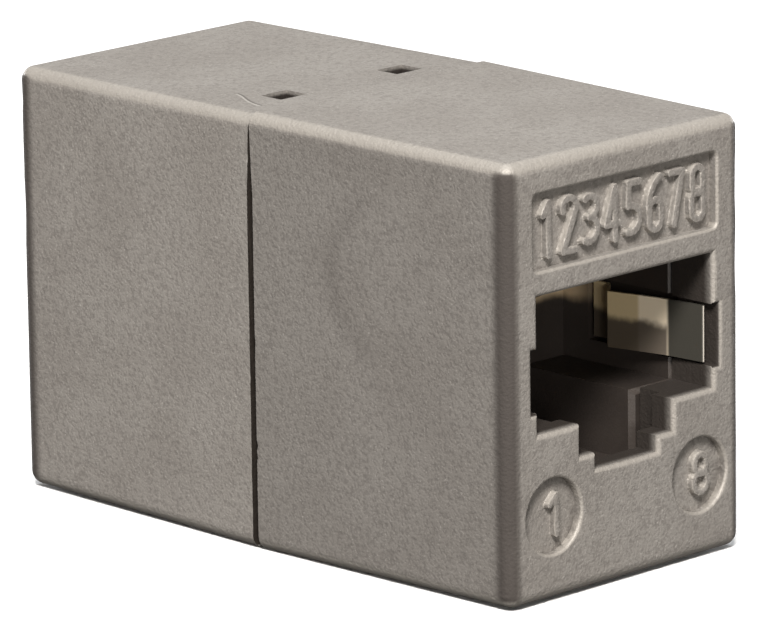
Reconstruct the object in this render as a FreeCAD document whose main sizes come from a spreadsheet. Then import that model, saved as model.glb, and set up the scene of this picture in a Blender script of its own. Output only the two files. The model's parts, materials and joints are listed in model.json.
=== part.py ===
"""RJ45 inline coupler: two die-cast halves around two jacks and one circuit board.

Frame: millimetres, +Z up, origin under the middle of the body, on its lowest edge.
The front port faces -Y and the rear port faces +Y, both with the latch side down.
Every piece of the rear jack is the front piece turned half a turn about Z.
A depth is measured from a port face towards the seam, and a rise from mid-height.
"""
import FreeCAD, Part
import math
import os
import re

import Sketcher

SIZES = [
    # body
    ("length", 33.7, "between the two port faces"),
    ("side_wall", 1.525, "side walls of both halves, at the seam"),
    ("top_wall", 1.45, "top wall and floor of both halves, at the seam"),
    ("side_draft", 0.325, "each side, from the seam in to a port face"),
    ("top_draft", 0.15, "top and underside, from the seam in to a port face"),
    ("seam_step", 0.12, "rear half lower than front half at the seam, on top"),
    ("corner_round", 0.7, "radius of the long edges and port face edges"),
    ("front_wall", 2.7, "wall behind a port face"),
    ("seam_gap", 0.18, "open slit along the seam on both sides"),
    ("slit_lid", 0.4, "top of the body down to where the slit closes"),
    ("slit_taper", 3.6, "stretch over which the slit opens to its full width"),
    ("slit_sill", 0.14, "underside of the body up to the slit's foot"),
    # port
    ("port_width", 11.9, "plug opening"),
    ("port_height", 6.6, "plug opening"),
    ("port_rise", 0.8, "middle of the plug opening above mid-height"),
    ("latch_width", 6.3, "wide latch step"),
    ("latch_drop", 1.58, "wide latch step below the plug opening"),
    ("key_width", 4.2, "narrow latch step"),
    ("key_drop", 0.8, "narrow latch step below the wide one"),
    ("latch_wall", 1.4, "wall that the plug's latch hooks behind"),
    ("chamber_width", 7.4, "latch room behind that wall"),
    ("chamber_drop", 3.5, "latch room below the plug opening"),
    ("chamber_round", 1.0, "lower corners of the latch room"),
    ("notch_depth", 0.4, "side notch outside the plug opening"),
    ("notch_height", 3.05, "side notch"),
    ("notch_fall", 0.73, "middle of the notches below the middle of the opening"),
    ("lip_round", 0.28, "radius round the mouth of the port"),
    # sunk panel, round marks and raised numerals
    ("panel_width", 12.4, "sunk panel above the port"),
    ("panel_height", 3.7, "sunk panel"),
    ("panel_rise", 7.15, "middle of the panel"),
    ("panel_depth", 0.5, "sunk panel"),
    ("panel_corner", 0.3, "corner radius of the panel"),
    ("mark_radius", 1.84, "round marks below the port"),
    ("mark_spacing", 9.95, "between the round marks"),
    ("mark_fall", 6.55, "middle of the round marks"),
    ("mark_depth", 0.45, "round marks"),
    ("rim_round", 0.16, "radius round the panel and the marks"),
    ("numeral_stroke", 0.36, "stroke of the raised numerals"),
    ("numeral_raise", 0.34, "numerals above the sunk floor"),
    ("panel_numeral_height", 2.5, "middle line of a panel numeral"),
    ("panel_numeral_width", 0.82, "middle line of a panel numeral"),
    ("panel_numeral_pitch", 1.45, "between panel numerals"),
    ("mark_numeral_height", 1.85, "middle line of a mark numeral"),
    ("mark_numeral_width", 0.95, "middle line of a mark numeral"),
    ("mark_numeral_shift", 0.22, "mark numerals right of the mark's middle"),
    # snap tongues and windows
    ("tongue_width", 2.2, "snap tongue of the front half"),
    ("tongue_thick", 0.9, "snap tongue"),
    ("tongue_root", 2.4, "tongue inside the front half"),
    ("tongue_reach", 3.4, "tongue inside the rear half"),
    ("tongue_spacing", 7.8, "between the two tongues of a side"),
    ("tongue_gap", 0.08, "tongue to the rear half's wall"),
    ("hook_rise", 0.75, "hook above its tongue"),
    ("hook_gap", 0.12, "hook to the edge of its window"),
    ("window_width", 1.7, "window across the body"),
    ("window_length", 1.4, "window along the body"),
    ("window_start", 1.35, "window behind the seam"),
    # circuit board
    ("board_thick", 1.6, "circuit board"),
    ("tail_hole", 0.62, "plated hole for a contact tail"),
    # jack insert and contact carrier
    ("insert_wall", 0.57, "jack insert beside the plug cavity"),
    ("insert_height", 18.4, "jack insert, over its front part"),
    ("tongue_clear", 1.85, "end of a snap tongue to the insert's shoulder"),
    ("tongue_room", 0.27, "snap tongue to the board and to the insert's rear part"),
    ("fit_gap", 0.1, "insert and board to the shell walls, and insert to board"),
    ("plug_gap", 0.08, "plug cavity wider than the metal mouth, each side"),
    ("mouth_chamfer", 0.25, "front edge of the plug cavity"),
    ("rear_wall", 1.7, "between the plug cavity and the carrier"),
    ("carrier_width", 10.6, "contact carrier"),
    ("carrier_rise", 6.6, "top of the contact carrier"),
    ("carrier_fall", 1.5, "underside of the contact carrier"),
    ("carrier_length", 3.1, "contact carrier"),
    ("carrier_recess", 1.15, "contact carrier to the insert's rear end"),
    ("carrier_gap", 0.06, "carrier to its pocket"),
    # contacts
    ("contact_pitch", 1.02, "between neighbouring contacts"),
    ("wire_width", 0.4, "contact wire across the body"),
    ("wire_thick", 0.3, "contact wire"),
    ("wire_gap", 0.06, "contact wire to its hole in the carrier"),
    ("slot_width", 0.62, "contact slots of the insert"),
    ("slot_gap", 0.3, "contact wire to the roof and front of its slot"),
    ("upper_row", 5.9, "rise of the odd contacts"),
    ("lower_row", 4.7, "rise of the even contacts"),
    ("bend_depth", 3.7, "front bend of the contacts"),
    ("bend_size", 0.32, "front bend of the contacts"),
    ("finger_rise", 3.98, "where the spring finger starts back"),
    ("finger_stop", 0.5, "low end of the spring finger to the rear wall"),
    ("tip_rise", 0.95, "low end of the spring finger"),
    ("tip_length", 0.9, "tip in its comb slot"),
    ("comb_depth", 0.95, "comb slots in the rear wall"),
    ("comb_drop", 0.7, "comb slots below the tips"),
    ("tail_reach", 0.8, "contact tail past the board"),
    # side springs
    ("spring_thick", 0.18, "side spring strip"),
    ("spring_height", 2.75, "side spring strip"),
    ("spring_gap", 0.05, "side spring to the notch wall"),
    ("tip_depth", 0.72, "depth of the spring's free front edge"),
    ("tip_press", 0.02, "front edge inside the port wall"),
    ("spring_root", 7.1, "depth where the root lies flat on the notch wall"),
    ("spring_tail", 8.0, "depth where the root ends"),
    ("first_bend", 2.75, "depth of the first bend"),
    ("first_press", 0.18, "first bend inside the port wall"),
    ("second_bend", 4.35, "depth of the second bend"),
    ("second_press", 0.5, "second bend inside the port wall"),
    ("crown_bend", 6.0, "depth of the crown"),
    ("crown_press", 0.9, "crown inside the port wall"),
]
NAMES = {name for name, _, _ in SIZES}

# Sizes and places that several pieces share, as expressions on the sheet's names.
HALF = "(length / 2)"
NOTCH_WIDTH = "(port_width + 2 * notch_depth)"
INSERT_WIDTH = "(port_width + 2 * plug_gap + 2 * insert_wall)"
CAVITY_WIDTH = f"({INSERT_WIDTH} + 2 * fit_gap)"
CAVITY_HEIGHT = "(insert_height + 2 * fit_gap)"
BOARD_WIDTH = f"({CAVITY_WIDTH} - 2 * fit_gap)"
BOARD_HEIGHT = f"({CAVITY_HEIGHT} - 2 * (tongue_gap + tongue_thick + tongue_room))"
SEAM_WIDTH = f"({CAVITY_WIDTH} + 2 * side_wall)"
SEAM_HEIGHT = f"({CAVITY_HEIGHT} + 2 * top_wall)"
FACE_WIDTH = f"({SEAM_WIDTH} - 2 * side_draft)"
FACE_HEIGHT = f"({SEAM_HEIGHT} - 2 * top_draft)"
MIDDLE = f"({SEAM_HEIGHT} / 2)"
PORT_MIDDLE = f"({MIDDLE} + port_rise)"
PORT_TOP = f"({PORT_MIDDLE} + port_height / 2)"
PORT_FLOOR = f"({PORT_MIDDLE} - port_height / 2)"
LATCH_FLOOR = f"({PORT_FLOOR} - latch_drop)"
KEY_FLOOR = f"({LATCH_FLOOR} - key_drop)"
NOTCH_MIDDLE = f"({PORT_MIDDLE} - notch_fall)"
BOARD_DEPTH = f"({HALF} - board_thick / 2)"
INSERT_START = "(front_wall + fit_gap)"
INSERT_END = f"({BOARD_DEPTH} - fit_gap)"
SHOULDER_DEPTH = f"({HALF} - tongue_reach - tongue_clear)"
CARRIER_START = f"({INSERT_END} - carrier_recess - carrier_length)"
PLUG_DEPTH = f"({CARRIER_START} - rear_wall)"
CONTACTS = 8
HALF_TURN = FreeCAD.Placement(FreeCAD.Vector(0, 0, 0), FreeCAD.Rotation(FreeCAD.Vector(0, 0, 1), 180))
ACROSS = FreeCAD.Vector(1, 0, 0)
UPWARD = FreeCAD.Vector(0, 0, 1)
TOLERANCE = 1e-3

document = FreeCAD.newDocument("inline_coupler")
sheet = document.addObject("Spreadsheet::Sheet", "Sizes")
for row, (name, size, note) in enumerate(SIZES, start=1):
    sheet.set(f"A{row}", name)
    sheet.set(f"B{row}", f"{size:g}")
    sheet.setAlias(f"B{row}", name)
    sheet.set(f"C{row}", note)
document.recompute()


# ---------------------------------------------------------------- helpers

def bound(text):
    """Return an expression whose size names point at the sheet."""
    return re.sub(r"[a-z_]+", lambda m: f"Sizes.{m[0]}" if m[0] in NAMES else m[0], text)


def value(text):
    """Return what an expression on the size names comes to."""
    return float(sheet.evalExpression(bound(text)))


def along(depth):
    """Return the Y of a depth behind the front port face, as an expression."""
    return f"{depth} - {HALF}"


def body_named(label):
    """Return a new, empty body."""
    body = document.addObject("PartDesign::Body", label)
    body.Label = label
    return body


def origin_feature(body, role):
    """Return a body's own plane or axis."""
    return next(item for item in body.Origin.OriginFeatures if item.Role == role)


def sketch_on(body, plane, offset="0"):
    """Return a sketch on one of a body's own planes, moved along its normal."""
    sketch = body.newObject("Sketcher::SketchObject", f"{plane[:2]}_sketch")
    sketch.AttachmentSupport = [(origin_feature(body, plane), "")]
    sketch.MapMode = "FlatFace"
    sketch.setExpression("AttachmentOffset.Base.z", bound(offset))
    return sketch


def cross_sketch(body, depth):
    """Return a sketch across the body, at a depth behind the front port face."""
    return sketch_on(body, "XZ_Plane", f"{HALF} - {depth}")


def draw(sketch, points, closed=True):
    """Draw straight runs through points, each tied to the sheet by both coordinates."""
    corners = [FreeCAD.Vector(value(a), value(b), 0) for a, b in points]
    runs = len(corners) if closed else len(corners) - 1
    first = sketch.GeometryCount
    ends = [(corners[k], corners[(k + 1) % len(corners)]) for k in range(runs)]
    sketch.addGeometry([Part.LineSegment(start, end) for start, end in ends], False)
    joins = runs if closed else runs - 1
    rules = [Sketcher.Constraint("Coincident", first + k, 2, first + (k + 1) % runs, 1)
             for k in range(joins)]
    sketch.addConstraint(rules)
    for k, (across, up) in enumerate(points):
        line, end = (first + k, 1) if k < runs else (first + k - 1, 2)
        tie(sketch, "DistanceX", line, end, across, corners[k].x)
        tie(sketch, "DistanceY", line, end, up, corners[k].y)


def tie(sketch, kind, line, end, text, size):
    """Hold one coordinate of a point at an expression."""
    index = sketch.addConstraint(Sketcher.Constraint(kind, -1, 1, line, end, size))
    sketch.setExpression(f"Constraints[{index}]", bound(text))


def draw_box(sketch, left, right, low, high):
    """Draw a rectangle."""
    draw(sketch, [(left, low), (right, low), (right, high), (left, high)])


def draw_centred(sketch, width, middle, height):
    """Draw a rectangle centred across the body."""
    draw_box(sketch, f"-{width} / 2", f"{width} / 2", f"{middle} - {height} / 2",
             f"{middle} + {height} / 2")


def draw_circle(sketch, across, up, radius):
    """Draw a circle with its centre and radius tied to the sheet."""
    centre = FreeCAD.Vector(value(across), value(up), 0)
    index = sketch.addGeometry(Part.Circle(centre, FreeCAD.Vector(0, 0, 1), value(radius)), False)
    tie(sketch, "DistanceX", index, 3, across, centre.x)
    tie(sketch, "DistanceY", index, 3, up, centre.y)
    rule = sketch.addConstraint(Sketcher.Constraint("Radius", index, value(radius)))
    sketch.setExpression(f"Constraints[{rule}]", bound(radius))


def grow(body, kind, sketch, length, both_ways=False, reverse=False):
    """Add a Pad or a Pocket from a sketch, and return it."""
    feature = body.newObject(f"PartDesign::{kind}", kind)
    feature.Profile = sketch
    feature.setExpression("Length", bound(length))
    feature.Midplane = both_ways
    feature.Reversed = reverse
    document.recompute()
    return feature


def pad(body, sketch, length, **how):
    """Add material from a sketch."""
    return grow(body, "Pad", sketch, length, **how)


def pocket(body, sketch, length, **how):
    """Cut material from a sketch, and make sure that something was cut."""
    before = body.Tip.Shape.Volume
    feature = grow(body, "Pocket", sketch, length, **how)
    if feature.Shape.Volume > before - TOLERANCE:
        raise RuntimeError(f"{body.Label}: a pocket cuts nothing")
    return feature


def repeat(body, feature, count, length):
    """Repeat a feature across the body."""
    pattern = body.newObject("PartDesign::LinearPattern", "Pattern")
    pattern.Originals = [feature]
    pattern.Direction = (origin_feature(body, "X_Axis"), [""])
    pattern.Occurrences = count
    pattern.setExpression("Length", bound(length))
    body.Tip = pattern
    document.recompute()
    return pattern


def edges_where(body, chosen):
    """Return the names of the tip's edges that a test picks."""
    edges = body.Tip.Shape.Edges
    return [f"Edge{k}" for k, edge in enumerate(edges, start=1) if chosen(edge.BoundBox)]


def soften(body, kind, names, size):
    """Add a Fillet or a Chamfer on named edges of the tip."""
    feature = body.newObject(f"PartDesign::{kind}", kind)
    feature.Base = (body.Tip if body.Tip is not feature else feature.BaseFeature, names)
    feature.setExpression("Radius" if kind == "Fillet" else "Size", bound(size))
    document.recompute()
    return feature


def at(place, low, high):
    """Tell whether an edge's range lies wholly at one place."""
    return abs(low - place) < TOLERANCE and abs(high - place) < TOLERANCE


def upright_at(half_width, box):
    """Tell whether an edge's range lies wholly at one distance from the middle, on either side."""
    return box.XMax - box.XMin < TOLERANCE and abs(abs(box.XMin) - half_width) < TOLERANCE


def mirrored(points):
    """Return a closed outline from its right-hand side, listed from top to bottom."""
    return points + [(f"-({across})", up) for across, up in reversed(points)]


def bent_strip(label, plane, place, points, thick, width):
    """Return a flat strip bent along a line of points, as thick and wide as given.

    The line is drawn in the YZ or XY plane, and place is the plane's own place along X or Z.
    """
    line = document.addObject("Sketcher::SketchObject", f"{label}_line")
    turned = FreeCAD.Rotation(FreeCAD.Vector(0, 1, 0), UPWARD, ACROSS, "ZXY")
    if plane == "YZ":
        line.Placement = FreeCAD.Placement(FreeCAD.Vector(0, 0, 0), turned)
    line.setExpression(f"Placement.Base.{'x' if plane == 'YZ' else 'z'}", bound(place))
    draw(line, points, closed=False)
    section = document.addObject("Part::Offset2D", f"{label}_section")
    section.Source = line
    section.Mode = "Pipe"
    section.Join = "Arc"
    section.Fill = True
    section.setExpression("Value", bound(f"{thick} / 2"))
    strip = document.addObject("Part::Extrusion", label)
    strip.Label = label
    strip.Base = section
    strip.DirMode = "Custom"
    strip.Dir = ACROSS if plane == "YZ" else UPWARD
    strip.Symmetric = True
    strip.Solid = True
    strip.setExpression("LengthFwd", bound(width))
    return strip


# ---------------------------------------------------------------- raised numerals

# Strokes on a grid one wide and one high. Three numbers mark a point in the middle of an arc.
# Closed loops are given by their foot, their top and their width.
NUMERALS = {
    "1": [[(0.15, 0.78), (0.6, 1), (0.6, 0)]],
    "2": [[(0, 0.76), (0.5, 1, 0), (0.98, 0.72), (0, 0), (1, 0)]],
    "3": [[(0.04, 0.9), (1, 0.78, 0), (0.4, 0.54)], [(0.4, 0.54), (1, 0.24, 0), (0, 0.1)]],
    "4": [[(0.72, 0), (0.72, 1)], [(0.72, 1), (0, 0.3), (1, 0.3)]],
    "5": [[(0.95, 1), (0.1, 1), (0.05, 0.56)], [(0.05, 0.56), (1, 0.3, 0), (0, 0.06)]],
    "6": [[(0.9, 1), (0.14, 0.72, 0), (0, 0.28)]],
    "7": [[(0, 1), (1, 1), (0.3, 0)]],
    "8": [],
}
LOOPS = {"6": [(0, 0.56, 1)], "8": [(0, 0.54, 1), (0.5, 1, 0.86)]}


def stroke_band(points, width, height, stroke):
    """Return the flat band of one stroke, in the XZ plane."""
    edges = []
    spots = [FreeCAD.Vector((p[0] - 0.5) * width, 0, (p[1] - 0.5) * height) for p in points]
    if len(spots) == 2:
        return straight_band(spots[0], spots[1], stroke)
    k = 0
    while k + 1 < len(points):
        if len(points[k + 1]) == 3:
            edges.append(Part.Arc(spots[k], spots[k + 1], spots[k + 2]).toShape())
            k += 2
        else:
            edges.append(Part.LineSegment(spots[k], spots[k + 1]).toShape())
            k += 1
    return Part.Wire(edges).makeOffset2D(stroke / 2, fill=True)


def straight_band(start, end, stroke):
    """Return the flat band of one straight stroke with round ends, in the XZ plane."""
    run = end - start
    outline = rounded_loop(0, stroke, run.Length + stroke)
    band = Part.Face(outline)
    lean = math.degrees(math.atan2(run.x, run.z))
    band.rotate(FreeCAD.Vector(0, 0, 0), FreeCAD.Vector(0, 1, 0), lean)
    band.translate((start + end) / 2)
    return band


def loop_band(low, high, width, height, stroke):
    """Return the flat band of a closed loop with round ends, in the XZ plane."""
    middle = ((low + high) / 2 - 0.5) * height
    tall = (high - low) * height
    outer = rounded_loop(middle, width + stroke, tall + stroke)
    inner = rounded_loop(middle, width - stroke, tall - stroke)
    return Part.Face(outer).cut(Part.Face(inner))


def rounded_loop(middle, wide, tall):
    """Return a closed outline of two half circles joined by straight sides."""
    radius = min(wide, tall) / 2
    lift, shift = tall / 2 - radius, wide / 2 - radius
    ways = [(1, 1), (-1, 1), (-1, -1), (1, -1)]
    slant = radius * math.sqrt(0.5)
    edges = []
    for k, (right, up) in enumerate(ways):
        centre = FreeCAD.Vector(right * shift, 0, middle + up * lift)
        side = centre + FreeCAD.Vector(right * radius, 0, 0)
        top = centre + FreeCAD.Vector(0, 0, up * radius)
        diagonal = centre + FreeCAD.Vector(right * slant, 0, up * slant)
        start, end = (side, top) if k % 2 == 0 else (top, side)
        if edges and (start - edges[-1].lastVertex().Point).Length > TOLERANCE:
            edges.append(Part.LineSegment(edges[-1].lastVertex().Point, start).toShape())
        edges.append(Part.Arc(start, diagonal, end).toShape())
    if (edges[0].firstVertex().Point - edges[-1].lastVertex().Point).Length > TOLERANCE:
        closing = (edges[-1].lastVertex().Point, edges[0].firstVertex().Point)
        edges.append(Part.LineSegment(*closing).toShape())
    return Part.Wire(edges)


def numeral(digit, across, up, width, height, floor_depth):
    """Return one raised numeral that stands on a floor sunk below the front port face."""
    stroke, sink = value("numeral_stroke"), value("numeral_raise")
    bands = [stroke_band(points, width, height, stroke) for points in NUMERALS[digit]]
    bands += [loop_band(low, high, share * width, height, stroke)
              for low, high, share in LOOPS.get(digit, [])]
    thick = value("numeral_raise") + sink
    solids = [band.extrude(FreeCAD.Vector(0, thick, 0)) for band in bands]
    solid = solids[0].multiFuse(solids[1:]) if len(solids) > 1 else solids[0]
    top = value(along(floor_depth)) - value("numeral_raise")
    solid.translate(FreeCAD.Vector(value(across), top, value(up)))
    return solid.removeSplitter()


def numerals(label):
    """Return the numerals of one port face: a row of eight, and one in each round mark."""
    solids = []
    for k in range(CONTACTS):
        across = f"({k} - {(CONTACTS - 1) / 2}) * panel_numeral_pitch"
        solids.append(numeral(str(k + 1), across, f"{MIDDLE} + panel_rise",
                              value("panel_numeral_width"), value("panel_numeral_height"),
                              "panel_depth"))
    for digit, side in (("1", "-1"), (str(CONTACTS), "1")):
        across = f"{side} * mark_spacing / 2 + mark_numeral_shift"
        solids.append(numeral(digit, across, f"{MIDDLE} - mark_fall",
                              value("mark_numeral_width"), value("mark_numeral_height"),
                              "mark_depth"))
    feature = document.addObject("Part::Feature", f"{label}_numerals")
    feature.Shape = Part.makeCompound(solids)
    return feature


# ---------------------------------------------------------------- die-cast halves

def port_outline():
    """Return the outline of the plug opening with its notches and latch steps."""
    notch_top = f"{NOTCH_MIDDLE} + notch_height / 2"
    notch_foot = f"{NOTCH_MIDDLE} - notch_height / 2"
    return mirrored([
        ("port_width / 2", PORT_TOP), ("port_width / 2", notch_top),
        (f"{NOTCH_WIDTH} / 2", notch_top), (f"{NOTCH_WIDTH} / 2", notch_foot),
        ("port_width / 2", notch_foot), ("port_width / 2", PORT_FLOOR),
        ("latch_width / 2", PORT_FLOOR), ("latch_width / 2", LATCH_FLOOR),
        ("key_width / 2", LATCH_FLOOR), ("key_width / 2", KEY_FLOOR),
    ])


def casting(label, seam_top):
    """Return a hollow half with its port, panel, round marks and side slits."""
    body = body_named(label)
    profile = sketch_on(body, "YZ_Plane")
    draw(profile, [(f"-{HALF}", f"{MIDDLE} - {FACE_HEIGHT} / 2"), ("0", "0"), ("0", seam_top),
                   (f"-{HALF}", f"{MIDDLE} + {FACE_HEIGHT} / 2")])
    pad(body, profile, SEAM_WIDTH, both_ways=True)
    for way in ("1", "-1"):
        wedge = sketch_on(body, "XY_Plane")
        draw(wedge, [(f"{way} * {SEAM_WIDTH} / 2", "0"), (f"{way} * {SEAM_WIDTH} / 2", f"-{HALF}"),
                     (f"{way} * {FACE_WIDTH} / 2", f"-{HALF}")])
        pocket(body, wedge, f"3 * {SEAM_HEIGHT}", both_ways=True)
    face_y = value(along("0"))
    rounded = edges_where(body, lambda box: not at(0, box.YMin, box.YMax))
    soften(body, "Fillet", rounded, "corner_round")

    hollow = cross_sketch(body, HALF)
    draw_centred(hollow, CAVITY_WIDTH, MIDDLE, CAVITY_HEIGHT)
    pocket(body, hollow, f"{HALF} - front_wall", reverse=True)
    port = cross_sketch(body, "0")
    draw(port, port_outline())
    pocket(body, port, HALF)
    lip = edges_where(body, lambda box: at(face_y, box.YMin, box.YMax)
                      and max(abs(box.XMin), abs(box.XMax)) < value(f"{NOTCH_WIDTH} / 2") + TOLERANCE
                      and box.ZMax < value(PORT_TOP) + TOLERANCE
                      and box.ZMin > value(KEY_FLOOR) - TOLERANCE)
    soften(body, "Fillet", lip, "lip_round")

    room = cross_sketch(body, "front_wall")
    draw_box(room, "-chamber_width / 2", "chamber_width / 2", f"{PORT_FLOOR} - chamber_drop",
             f"{PORT_FLOOR} + lip_round")
    pocket(body, room, "front_wall - latch_wall", reverse=True)
    room_foot = value(f"{PORT_FLOOR} - chamber_drop")
    corners = edges_where(body, lambda box: at(room_foot, box.ZMin, box.ZMax)
                          and upright_at(value("chamber_width / 2"), box))
    soften(body, "Fillet", corners, "chamber_round")

    panel = cross_sketch(body, "0")
    draw_centred(panel, "panel_width", f"({MIDDLE} + panel_rise)", "panel_height")
    pocket(body, panel, "panel_depth")
    side = value("panel_width / 2")
    corners = edges_where(body, lambda box: upright_at(side, box)
                          and box.ZMax - box.ZMin < TOLERANCE
                          and box.ZMin > value(PORT_TOP))
    soften(body, "Fillet", corners, "panel_corner")
    marks = cross_sketch(body, "0")
    for across in ("-mark_spacing / 2", "mark_spacing / 2"):
        draw_circle(marks, across, f"{MIDDLE} - mark_fall", "mark_radius")
    pocket(body, marks, "mark_depth")
    rims = edges_where(body, lambda box: at(face_y, box.YMin, box.YMax)
                       and max(abs(box.XMin), abs(box.XMax)) < value("mark_spacing / 2 + mark_radius")
                       + TOLERANCE
                       and (box.ZMin > value(PORT_TOP) + value("2 * lip_round")
                            or box.ZMax < value(f"{MIDDLE} - mark_fall + mark_radius") + TOLERANCE))
    soften(body, "Fillet", rims, "rim_round")

    slit_top = f"{SEAM_HEIGHT} - slit_lid"
    slit = sketch_on(body, "YZ_Plane")
    draw(slit, [("0", slit_top), ("-seam_gap", f"{slit_top} - slit_taper"),
                ("-seam_gap", "slit_sill"), ("0", "slit_sill")])
    pocket(body, slit, f"2 * {SEAM_WIDTH}", both_ways=True)
    return body


def snap_tongues(body):
    """Add the four hooked tongues that hold the rear half."""
    wall = f"{CAVITY_HEIGHT} / 2"
    skin = f"({wall} - tongue_gap)"
    back = f"({skin} - tongue_thick)"
    hook_start = "window_start + hook_gap"
    tongue = [
        ("-tongue_root", back), ("-tongue_root", f"{wall} + tongue_gap"),
        ("-seam_gap - tongue_gap", f"{wall} + tongue_gap"), ("-seam_gap - tongue_gap", skin),
        ("tongue_reach", skin), ("tongue_reach", back),
    ]
    hook = [
        (hook_start, back), (hook_start, f"{skin} + hook_rise"),
        (f"{hook_start} + hook_gap", f"{skin} + hook_rise"),
        ("window_start + window_length - hook_gap", skin),
        ("window_start + window_length - hook_gap", back),
    ]
    for across in ("-tongue_spacing / 2", "tongue_spacing / 2"):
        for way in ("1", "-1"):
            for outline, width in ((tongue, "tongue_width"), (hook, "window_width - 2 * hook_gap")):
                sketch = sketch_on(body, "YZ_Plane", across)
                draw(sketch, [(y, f"{MIDDLE} + {way} * ({z})") for y, z in outline])
                pad(body, sketch, width, both_ways=True)


def snap_windows(body):
    """Cut the four windows that the hooks snap into, through the top and the underside."""
    sketch = sketch_on(body, "XY_Plane")
    for across in ("-tongue_spacing / 2", "tongue_spacing / 2"):
        draw_box(sketch, f"{across} - window_width / 2", f"{across} + window_width / 2",
                 "-window_start - window_length", "-window_start")
    pocket(body, sketch, f"3 * {SEAM_HEIGHT}", both_ways=True)


def shell(side, seam_top, fastening, placement):
    """Return one finished half: the casting with its fastening and raised numerals."""
    body = casting(f"{side}_casting", seam_top)
    fastening(body)
    digits = numerals(side)
    whole = document.addObject("Part::Fuse", f"{side}_shell")
    whole.Label = f"{side}_shell"
    whole.Base = body
    whole.Tool = digits
    whole.Placement = placement
    return whole


# ---------------------------------------------------------------- jack

def jack_insert(side, placement):
    """Return the moulded insert: plug cavity, latch channel, contact slots and comb."""
    body = body_named(f"{side}_jack_insert")
    front = cross_sketch(body, INSERT_START)
    draw_centred(front, INSERT_WIDTH, MIDDLE, "insert_height")
    pad(body, front, f"{SHOULDER_DEPTH} - {INSERT_START}", reverse=True)
    rear = cross_sketch(body, SHOULDER_DEPTH)
    draw_centred(rear, INSERT_WIDTH, MIDDLE, BOARD_HEIGHT)
    pad(body, rear, f"{INSERT_END} - {SHOULDER_DEPTH}", reverse=True)

    plug = cross_sketch(body, INSERT_START)
    floor = f"({PORT_FLOOR} - plug_gap)"
    draw(plug, mirrored([
        ("(port_width / 2 + plug_gap)", f"{PORT_TOP} + plug_gap"),
        ("(port_width / 2 + plug_gap)", floor),
        ("(latch_width / 2 + plug_gap)", floor),
        ("(latch_width / 2 + plug_gap)", f"{PORT_FLOOR} - chamber_drop"),
    ]))
    pocket(body, plug, f"{PLUG_DEPTH} - {INSERT_START}")
    start = value(along(INSERT_START))
    mouth = edges_where(body, lambda box: at(start, box.YMin, box.YMax)
                        and max(abs(box.XMin), abs(box.XMax)) < value("port_width / 2 + 2 * plug_gap"))
    soften(body, "Chamfer", mouth, "mouth_chamfer")

    seat = cross_sketch(body, INSERT_END)
    draw_box(seat, "-carrier_width / 2 - carrier_gap", "carrier_width / 2 + carrier_gap",
             f"{MIDDLE} - carrier_fall - carrier_gap", f"{MIDDLE} + carrier_rise + carrier_gap")
    pocket(body, seat, f"{INSERT_END} - {CARRIER_START}", reverse=True)

    slot = sketch_on(body, "YZ_Plane", f"-{(CONTACTS - 1) / 2} * contact_pitch")
    slot_front = along("(bend_depth - wire_thick / 2 - slot_gap)")
    slot_roof = f"{MIDDLE} + upper_row + wire_thick / 2 + slot_gap"
    comb_back = along(f"({PLUG_DEPTH} + comb_depth)")
    comb_foot = f"{MIDDLE} + tip_rise - comb_drop"
    draw(slot, [
        (slot_front, f"{PORT_TOP} - plug_gap"), (slot_front, slot_roof),
        (along(f"({CARRIER_START} + carrier_gap)"), slot_roof),
        (along(f"({CARRIER_START} + carrier_gap)"), f"{MIDDLE} + lower_row - wire_thick / 2 - slot_gap"),
        (comb_back, f"{MIDDLE} + lower_row - wire_thick / 2 - slot_gap"),
        (comb_back, comb_foot), (along(f"({PLUG_DEPTH} - comb_depth)"), comb_foot),
        (along(f"({PLUG_DEPTH} - comb_depth)"), f"{PORT_TOP} - plug_gap"),
    ])
    repeat(body, pocket(body, slot, "slot_width", both_ways=True), CONTACTS,
           f"{CONTACTS - 1} * contact_pitch")

    window = sketch_on(body, "YZ_Plane")
    window_half = "(notch_height / 2 + spring_gap)"
    draw_box(window, along(f"({INSERT_START} - mouth_chamfer)"), along("(spring_tail + slot_gap)"),
             f"{NOTCH_MIDDLE} - {window_half}", f"{NOTCH_MIDDLE} + {window_half}")
    pocket(body, window, f"2 * {INSERT_WIDTH}", both_ways=True)
    body.Placement = placement
    return body


def contact_carrier(side, placement):
    """Return the block with two rows of holes that grips the contact wires."""
    body = body_named(f"{side}_contact_carrier")
    block = cross_sketch(body, CARRIER_START)
    draw_box(block, "-carrier_width / 2", "carrier_width / 2", f"{MIDDLE} - carrier_fall",
             f"{MIDDLE} + carrier_rise")
    pad(body, block, "carrier_length", reverse=True)
    last = (CONTACTS - 1) / 2
    for row, first in (("upper_row", -last), ("lower_row", 1 - last)):
        hole = cross_sketch(body, CARRIER_START)
        across = f"{first} * contact_pitch"
        draw_box(hole, f"{across} - wire_width / 2 - wire_gap", f"{across} + wire_width / 2 + wire_gap",
                 f"{MIDDLE} + {row} - wire_thick / 2 - wire_gap",
                 f"{MIDDLE} + {row} + wire_thick / 2 + wire_gap")
        repeat(body, pocket(body, hole, "carrier_length"), CONTACTS // 2,
               f"{CONTACTS - 2} * contact_pitch")
    body.Placement = placement
    return body


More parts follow.
